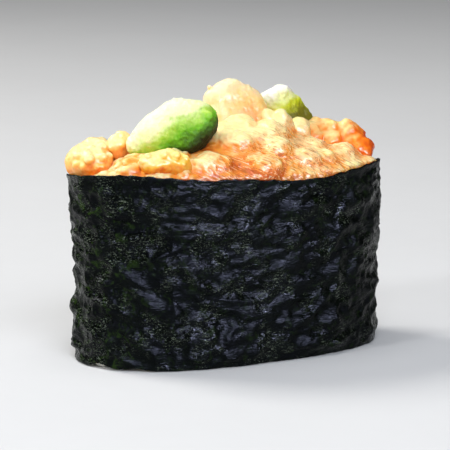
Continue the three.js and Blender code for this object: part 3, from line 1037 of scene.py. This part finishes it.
def finish_material(tree, shader):
    output = tree.nodes.new("ShaderNodeOutputMaterial")
    tree.links.new(shader.outputs[0], output.inputs["Surface"])


def new_group(name, inputs, outputs):
    """A node group with named inputs of (name, kind, value) and outputs of (name, kind)."""
    tree = bpy.data.node_groups.new(name, "ShaderNodeTree")
    for label, kind, value in inputs:
        socket = tree.interface.new_socket(label, in_out="INPUT", socket_type=kind)
        socket.default_value = value
    for label, kind in outputs:
        tree.interface.new_socket(label, in_out="OUTPUT", socket_type=kind)
    return tree, tree.nodes.new("NodeGroupInput"), tree.nodes.new("NodeGroupOutput")


def use_group(tree, group, **inputs):
    node = tree.nodes.new("ShaderNodeGroup")
    node.node_tree = group
    return fill(tree, node, inputs)


# %% [markdown]
# ## Shared effects
#
# Two effects turn up on several foods, so each is a node group. The first is soft mottling, patches
# of two tints with finer speckles in them. The second is moist relief, the low bumps and pits that
# break up a wet highlight. Sizes go in as millimetres.

# %% Mottling
FLOAT, COLOUR = "NodeSocketFloat", "NodeSocketColor"
mottle, given, result = new_group(
    "Soft mottling",
    [
        ("Patch size", FLOAT, 4.0),
        ("Speckle size", FLOAT, 0.8),
        ("Sharpness", FLOAT, 0.3),
        ("Tint A", COLOUR, grey(0.2)),
        ("Tint B", COLOUR, grey(0.8)),
    ],
    [("Color", COLOUR), ("Mask", FLOAT)],
)
place = put(mottle, "TexCoord").outputs["Object"]


def per_mm(tree, size):
    """The texture scale, per metre, for features of a size in millimetres."""
    return sums(tree, "DIVIDE", 1 / MM, size)


patches = put(
    mottle, "TexNoise", Vector=place, Detail=3.0, Distortion=0.6,
    Scale=per_mm(mottle, given.outputs["Patch size"]),
)
speckles = put(
    mottle, "TexNoise", Vector=place, Detail=2.0,
    Scale=per_mm(mottle, given.outputs["Speckle size"]),
)
fine = sums(mottle, "MULTIPLY", speckles.outputs["Fac"], 0.3)
total = sums(mottle, "MULTIPLY_ADD", patches.outputs["Fac"], 0.7, fine)
half_width = sums(mottle, "MULTIPLY", given.outputs["Sharpness"], 0.5)
low = sums(mottle, "SUBTRACT", 0.5, half_width)
high = sums(mottle, "ADD", 0.5, half_width)
mask = between(mottle, total, low, high, kind="SMOOTHSTEP")
shade = mixed(mottle, mask, given.outputs["Tint A"], given.outputs["Tint B"])
mottle.links.new(shade, result.inputs["Color"])
mottle.links.new(mask, result.inputs["Mask"])
print("group:", mottle.name)

# %% Moist relief
relief, given, result = new_group(
    "Moist relief",
    [("Bump size", FLOAT, 0.8), ("Pit size", FLOAT, 0.35), ("Pits", FLOAT, 0.3)],
    [("Height", FLOAT)],
)
place = put(relief, "TexCoord").outputs["Object"]
bumps = put(
    relief, "TexNoise", Vector=place, Detail=4.0, Roughness=0.6,
    Scale=per_mm(relief, given.outputs["Bump size"]),
)
pits = put(
    relief, "TexVoronoi", {"feature": "SMOOTH_F1"}, Vector=place,
    Scale=per_mm(relief, given.outputs["Pit size"]),
)
height = sums(relief, "MULTIPLY", pits.outputs["Distance"], given.outputs["Pits"])
relief.links.new(sums(relief, "ADD", bumps.outputs["Fac"], height), result.inputs["Height"])
print("group:", relief.name)

# %% [markdown]
# ## Nori
#
# Nori looks black, but green is painted into thin places as backlight showing through them, most of all at
# the left end. Its dried film has a silky, slightly blue gloss, and the gloss is what shows its wrinkles. So
# much of the work is in the bump, long fibres pressed every way, and in a gloss that comes and goes in
# patches. The finest glints are smaller than a dot of the picture, so pale threads painted where it is
# glossy stand in for them: painted glints.

# %% Nori's tones and painted backlight in thin places
nori_material, tree = new_material("Nori")
place = put(tree, "TexCoord").outputs["Object"]
tones = use_group(
    tree, mottle, Patch_size=5.0, Speckle_size=0.7, Sharpness=0.5,
    Tint_A=colour("020302"), Tint_B=colour("080c07"),
)
along = put(tree, "SeparateXYZ", Vector=place).outputs["X"]
# Green painted into thin spots as backlight showing through the sheet, most at the left end
backlit_end = between(tree, along, -18 * MM, -29 * MM, kind="SMOOTHSTEP")
backlit_spots = put(tree, "TexNoise", Vector=place, Scale=700.0, Detail=4.0, Roughness=0.65, Distortion=1.0)
backlit = between(tree, backlit_spots.outputs["Fac"], 0.54, 0.7)
backlit_green = sums(tree, "MULTIPLY", backlit, sums(tree, "MULTIPLY_ADD", backlit_end, 0.6, 0.22))
base = mixed(tree, backlit_green, tones.outputs["Color"], colour("2a3e12"))

# %% Nori's fibres
stretch = put(tree, "Mapping", Vector=place, Rotation=(0.3, 0.5, 0.0), Scale=(1.0, 1.0, 3.2)).outputs[0]
fibres = put(tree, "TexNoise", Vector=stretch, Scale=1100.0, Detail=1.0, Roughness=0.5, Distortion=0.8)
ridges = put(
    tree, "TexNoise", {"noise_type": "RIDGED_MULTIFRACTAL"}, Vector=stretch, Scale=420.0, Detail=1.0
)
film = sums(tree, "ADD", fibres.outputs["Fac"], sums(tree, "MULTIPLY", ridges.outputs["Fac"], 0.5))
bump = put(tree, "Bump", Strength=0.8, Distance=0.14 * MM, Height=film)

# %% Nori's gloss and painted glints
spots = put(tree, "TexNoise", Vector=place, Scale=230.0, Detail=2.0, Roughness=0.6, Distortion=0.5)
gloss_spots = spots.outputs["Fac"]
# Pale threads painted in the glossiest patches, most at the left end: painted glints
threads = put(tree, "TexNoise", Vector=stretch, Scale=2000.0, Detail=1.0, Distortion=1.5)
glint_lines = between(tree, threads.outputs["Fac"], 0.6, 0.72)
most_at_end = sums(tree, "MULTIPLY_ADD", backlit_end, 0.07, gloss_spots)
painted_glints = sums(tree, "MULTIPLY", glint_lines, between(tree, most_at_end, 0.5, 0.62))
base = mixed(tree, sums(tree, "MULTIPLY", painted_glints, 0.7), base, colour("7c8674"))
sheen = ramp(tree, gloss_spots, [(0.4, grey(0.36)), (0.6, grey(0.08))])
shader = put(
    tree, "BsdfPrincipled", Base_Color=base, Roughness=sheen, Normal=bump.outputs["Normal"],
    Specular_IOR_Level=0.055, Specular_Tint=colour("d4d8ff"),
)
finish_material(tree, shader)
print("material:", nori_material.name)

# %% [markdown]
# ## Rice
#
# Cooked rice is white with a faint warm grey, a little see-through, and moist enough to shine softly.

# %% Rice material
rice_material, tree = new_material("Cooked rice")
tones = use_group(
    tree, mottle, Patch_size=2.0, Speckle_size=0.5, Sharpness=0.5,
    Tint_A=colour("e6dfcb"), Tint_B=colour("f7f3e8"),
)
skin = use_group(tree, relief, Bump_size=0.9, Pit_size=0.5, Pits=0.2)
bump = put(tree, "Bump", Strength=0.3, Distance=0.1 * MM, Height=skin.outputs["Height"])
shader = put(
    tree, "BsdfPrincipled", Base_Color=tones.outputs["Color"], Roughness=0.42, Normal=bump.outputs["Normal"],
    Subsurface_Weight=0.35, Subsurface_Radius=(1.0, 0.8, 0.6), Subsurface_Scale=1.2 * MM,
)
finish_material(tree, shader)
print("material:", rice_material.name)

# %% [markdown]
# ## Seafood
#
# Every seafood piece is the same kind of surface: painted pale and bright where it bulges towards the light,
# painted light, and painted deeper in its folds and on its far sides, painted shade. It is also mottled,
# wet, and soft enough for light to spread inside it. Only the tints and the gloss differ, so one function
# makes the material from a short list of them. The heap also has fibres on its two flanks, dark ones and
# pale ones that are partly painted highlights, and there are more of them towards the right end.

# %% Dragged fibres
FLANK_FROM, FLANK_FULL = 6.5 * MM, 10.5 * MM  # how far off the middle the fibres start and are full
MORE_TO_RIGHT = 0.45


def with_fibres(tree, place, base, height, strength):
    """Adds dark fibres, and pale ones that are partly painted highlights, to a colour and a height, and
    gives both back.
    """
    lean = put(
        tree, "Mapping", {"vector_type": "TEXTURE"}, Vector=place,
        Rotation=(0.0, FIBRE_DIP, FIBRE_TURN), Scale=(3 * FIBRE_STRETCH, 1.0, 1.0),
    )
    strands = put(tree, "TexNoise", Vector=lean.outputs[0], Scale=4200.0, Detail=2.0, Roughness=0.6)
    parts = put(tree, "SeparateXYZ", Vector=place)
    outward = sums(tree, "ABSOLUTE", parts.outputs["Y"])
    flank = sums(tree, "MULTIPLY_ADD", parts.outputs["X"], MORE_TO_RIGHT, outward)
    where = between(tree, flank, FLANK_FROM, FLANK_FULL)
    dark_lines = between(tree, strands.outputs["Fac"], 0.55, 0.62)
    dark_marks = sums(tree, "MULTIPLY", sums(tree, "MULTIPLY", dark_lines, where), strength)
    # Pale fibres: the strands' own pale colour, with painted highlights along them
    pale_glint_lines = between(tree, strands.outputs["Fac"], 0.42, 0.36)
    pale_glint_marks = sums(tree, "MULTIPLY", sums(tree, "MULTIPLY", pale_glint_lines, where), strength)
    base = mixed(tree, dark_marks, base, colour("a04a10"))
    base = mixed(tree, pale_glint_marks, base, colour("ffedc0"))
    return base, sums(tree, "ADD", height, sums(tree, "MULTIPLY", dark_marks, 0.5))


# %% Seafood materials
def seafood_material(name, lit_crest, middle, painted_shade, patch, fibre=0.0, gloss=0.27):
    """The tints run from painted light on the crests through middle to painted shade in the folds, patch is
    the mottling, and gloss a roughness.
    """
    material, tree = new_material(name)
    place = put(tree, "TexCoord").outputs["Object"]
    shade_depth = put(tree, "Attribute", {"attribute_name": "painted_shade"}).outputs["Fac"]
    # Painted light on the crests, and painted shade in the folds and on sides away from the light
    shade_tints = ramp(tree, shade_depth, [(0.3, colour(lit_crest)), (0.55, colour(middle)), (0.85, colour(painted_shade))])
    spots = use_group(
        tree, mottle, Patch_size=4.5, Speckle_size=0.7, Sharpness=0.35, Tint_A=grey(0.0), Tint_B=grey(1.0)
    )
    off_crests = between(tree, shade_depth, 0.05, 0.35, 0.25, 0.65)
    patchy = sums(tree, "MULTIPLY", spots.outputs["Mask"], off_crests)
    base = mixed(tree, patchy, shade_tints, colour(patch))
    height = use_group(tree, relief, Bump_size=0.9, Pit_size=0.5, Pits=0.35).outputs["Height"]
    if fibre:
        base, height = with_fibres(tree, place, base, height, fibre)
    bump = put(tree, "Bump", Strength=0.4, Distance=0.2 * MM, Height=height)
    shader = put(
        tree, "BsdfPrincipled", Base_Color=base, Roughness=gloss, Normal=bump.outputs["Normal"],
        Specular_IOR_Level=0.25, Coat_Weight=0.05, Coat_Roughness=0.12,
        Subsurface_Weight=0.5, Subsurface_Radius=(1.0, 0.55, 0.28), Subsurface_Scale=2.5 * MM,
    )
    finish_material(tree, shader)
    print("material:", name)
    return material


heap_material = seafood_material("Chopped seafood", "ffe6a6", "f9a440", "cc560c", "f48a36", fibre=0.6)
pale_material = seafood_material("Pale lumps", "ffe0a4", "fab248", "ec7400", "fdc878")
peak_material = seafood_material("Pale pink piece", "ffe8bc", "ffd07a", "f8940c", "ffd4a0", gloss=0.34)
front_material = seafood_material("Yellow lump", "ffe098", "fbb030", "e06000", "fcc648")
right_material = seafood_material("Orange piece", "ffd890", "fa9426", "d44000", "f47410")

# %% [markdown]
# ## Avocado
#
# The colour runs across each piece, from cream at the stone side to green under the skin. On the piece in
# front it is nearly white at the upper end, painted light, and near black-green at the lower end, painted
# shade. A gradient from the place in the object gives that run, noise keeps its border from being a straight
# line, and painted shade makes folds and sides away from the light greener.

# %% The run of colour
WANDER, PAINTED_SHADE_GREENER, UNSHADED_LEVEL = 0.55, 0.35, 0.45


def run_across(tree, start, end):
    """From 0 at one place to 1 at another, both in millimetres, with a wandering border, shifted by painted
    shade so that folds and sides away from the light go greener.
    """
    start, end = Vector(start) * MM, Vector(end) * MM
    run = end - start
    place = put(tree, "TexCoord").outputs["Object"]
    from_start = put(tree, "VectorMath", {"operation": "SUBTRACT"}, _0=place, _1=start)
    along = put(
        tree, "VectorMath", {"operation": "DOT_PRODUCT"},
        _0=from_start.outputs[0], _1=run / run.length_squared,
    )
    wander = put(tree, "TexNoise", Vector=place, Scale=260.0, Detail=5.0, Roughness=0.65)
    shift = sums(tree, "MULTIPLY", sums(tree, "SUBTRACT", wander.outputs["Fac"], 0.5), WANDER)
    shade_depth = put(tree, "Attribute", {"attribute_name": "painted_shade"}).outputs["Fac"]
    # Painted shade: greener in folds and on sides away from the light
    shade = sums(tree, "MULTIPLY", sums(tree, "SUBTRACT", shade_depth, UNSHADED_LEVEL), PAINTED_SHADE_GREENER)
    return sums(tree, "ADD", along.outputs["Value"], sums(tree, "ADD", shift, shade))


# %% Avocado materials
def avocado_material(name, start, end, stops):
    """Start and end are the places, in millimetres, between which the colour runs."""
    material, tree = new_material(name)
    base = ramp(tree, run_across(tree, start, end), [(p, colour(c)) for p, c in stops])
    spots = use_group(
        tree, mottle, Patch_size=1.6, Speckle_size=0.4, Sharpness=0.6, Tint_A=grey(0.82), Tint_B=grey(1.0)
    )
    base = mixed(tree, 1.0, base, spots.outputs["Color"], "MULTIPLY")
    skin = use_group(tree, relief, Bump_size=0.7, Pit_size=0.4, Pits=0.5)
    bump = put(tree, "Bump", Strength=0.6, Distance=0.3 * MM, Height=skin.outputs["Height"])
    shader = put(
        tree, "BsdfPrincipled", Base_Color=base, Roughness=0.55, Normal=bump.outputs["Normal"],
        Specular_IOR_Level=0.15,
        Subsurface_Weight=0.35, Subsurface_Radius=(0.7, 1.0, 0.3), Subsurface_Scale=1.2 * MM,
    )
    finish_material(tree, shader)
    print("material:", name)
    return material


avocado_front_material = avocado_material(
    "Avocado front", (-14.4, -4.0, 43.9), (-9.0, -7.0, 35.5),
    # Nearly white at the upper end, painted light, cream to green as the flesh runs, and near black-green at
    # the lower end, painted shade
    [
        (0.0, "fffcd0"), (0.32, "f2f8b4"), (0.5, "b8de54"),
        (0.68, "78c01c"), (0.84, "406606"), (1.0, "262c00"),
    ],
)
avocado_back_material = avocado_material(
    "Avocado back", (12.0, 5.0, 44.5), (14.5, 3.0, 38.5),
    [(0.1, "fffbe6"), (0.4, "eef0a0"), (0.6, "d2d810"), (0.9, "7a7600")],
)

# %% [markdown]
# ## Handing the pieces over
#
# Each piece takes its material, replaces its solid and rides on the one body that food has. The table also
# lists the slot of the record whose finish it takes.

# %% Pieces, solids and slots
PIECES = [
    (nori, nori_material, "nori_band", "nori"),
    (rice, rice_material, "rice_bed", "rice"),
    (heap, heap_material, "seafood_heap", "seafood"),
    (peak, peak_material, "seafood_piece_peak", "seafood_pale"),
    (left, pale_material, "seafood_piece_left", "seafood_pale"),
    (left_inner, pale_material, "seafood_piece_left_inner", "seafood_pale"),
    (front, front_material, "seafood_piece_front", "seafood_pale"),
    (right, right_material, "seafood_piece_right", "seafood"),
    (avocado_front, avocado_front_material, "avocado_front", "avocado"),
    (avocado_back, avocado_back_material, "avocado_back", "avocado"),
]
for piece, material, node, slot in PIECES:
    piece.data.materials.append(material)
    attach(piece, "root")
    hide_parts(node)
print(len(PIECES), "pieces ride on the root")

# %% [markdown]
# ## The floor
#
# The sushi stands on a plain pale surface, large enough to fill the view behind it.

# %% Floor
FLOOR_HALF = 2.5
floor_corners = [(x * FLOOR_HALF, y * FLOOR_HALF, 0) for x, y in [(-1, -1), (1, -1), (1, 1), (-1, 1)]]
floor_mesh = bpy.data.meshes.new("floor")
floor_mesh.from_pydata(floor_corners, [], [(0, 1, 2, 3)])
floor = bpy.data.objects.new("floor", floor_mesh)
bpy.context.scene.collection.objects.link(floor)
floor_material, tree = new_material("Pale floor")
tones = use_group(
    tree, mottle, Patch_size=60.0, Speckle_size=6.0, Sharpness=0.9, Tint_A=grey(0.62), Tint_B=grey(0.65)
)
finish_material(tree, put(tree, "BsdfPrincipled", Base_Color=tones.outputs["Color"], Roughness=0.6))
floor.data.materials.append(floor_material)
floor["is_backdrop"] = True
print(f"the floor is {2 * FLOOR_HALF:.0f} m wide")

# %% [markdown]
# ## Light
#
# The main light is a soft one behind the sushi, on the left and high up, so the wet lumps shine on
# their upper left sides. Weaker ones overhead, in front and far to the left fill the shadows, and the
# room itself is a dim grey. The nori needs something bright to reflect, which would flatten the
# topping. So a long narrow strip low in front of it shows only in reflections, and lights nothing.

# %% Lights
MIDDLE = Vector((0.0, 0.0, 0.025))


def softbox(name, position, wide, tall, power, tint, shine_only=False):
    """A soft rectangle of light that faces the sushi, with sizes in metres and power in watts."""
    light = bpy.data.lights.new(name, "AREA")
    light.shape = "RECTANGLE"
    light.size = wide
    light.size_y = tall
    light.energy = power
    light.color = tint
    lamp = bpy.data.objects.new(name, light)
    lamp.location = position
    lamp.rotation_euler = (MIDDLE - lamp.location).to_track_quat("-Z", "Y").to_euler()
    lamp.visible_diffuse = not shine_only
    bpy.context.scene.collection.objects.link(lamp)


softbox("key", (-0.34, 0.42, 0.62), 0.28, 0.28, 4.8, (1.0, 0.98, 0.94))
softbox("front strip", (0.10, -0.80, 0.36), 0.8, 0.03, 26.0, (0.90, 0.94, 1.0), shine_only=True)
softbox("front box", (-0.15, -0.62, 0.58), 0.5, 0.3, 4.5, (0.85, 0.9, 1.0))
softbox("left box", (-0.72, -0.20, 0.38), 0.10, 0.10, 2.0, (0.95, 0.97, 1.0))
softbox("overhead", (-0.05, -0.05, 0.80), 0.50, 0.50, 2.5, (1.0, 1.0, 1.0))
print(len(bpy.data.lights), "soft lights")

# %% The room
world = bpy.data.worlds.new("room")
world.use_nodes = True
background = world.node_tree.nodes["Background"]
background.inputs["Color"].default_value = (0.85, 0.88, 0.93, 1)
background.inputs["Strength"].default_value = 0.1
bpy.context.scene.world = world
print("a dim room round them")

# %% [markdown]
# ## Camera
#
# The photograph was taken from about 10 degrees above, a little to the left of the long side, with a
# long lens. A long lens keeps the far end nearly as large as the near one. The plain view transform
# leaves the yellows and oranges as strong as they are painted.

# %% Camera
bpy.context.scene.view_settings.view_transform = "Standard"
SENSOR, LENS = 36.0, 185.0
CAMERA_PLACE = Vector((-169.36, -354.73, 94.39)) * MM
CAMERA_LOOKS = Vector((0.4233, 0.8875, -0.1822))
camera_data = bpy.data.cameras.new("camera")
camera_data.sensor_width = SENSOR
camera_data.lens = LENS
camera_data.clip_start = 0.01
camera = bpy.data.objects.new("camera", camera_data)
camera.location = CAMERA_PLACE
camera.rotation_euler = CAMERA_LOOKS.to_track_quat("-Z", "Y").to_euler()
bpy.context.scene.collection.objects.link(camera)
bpy.context.scene.camera = camera
print(f"camera {CAMERA_PLACE.length:.2f} m away, lens {LENS:.0f} mm")

# %% [markdown]
# ## Sizes
#
# The dressed sushi is kept within the same box as its solids. Both boxes are printed.

# %% Sizes
VISUAL_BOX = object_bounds()
sizes = {"cad": [list(corner) for corner in CAD_BOX], "visual": [list(corner) for corner in VISUAL_BOX]}
print("solid box", sizes["cad"], "dressed box", sizes["visual"])
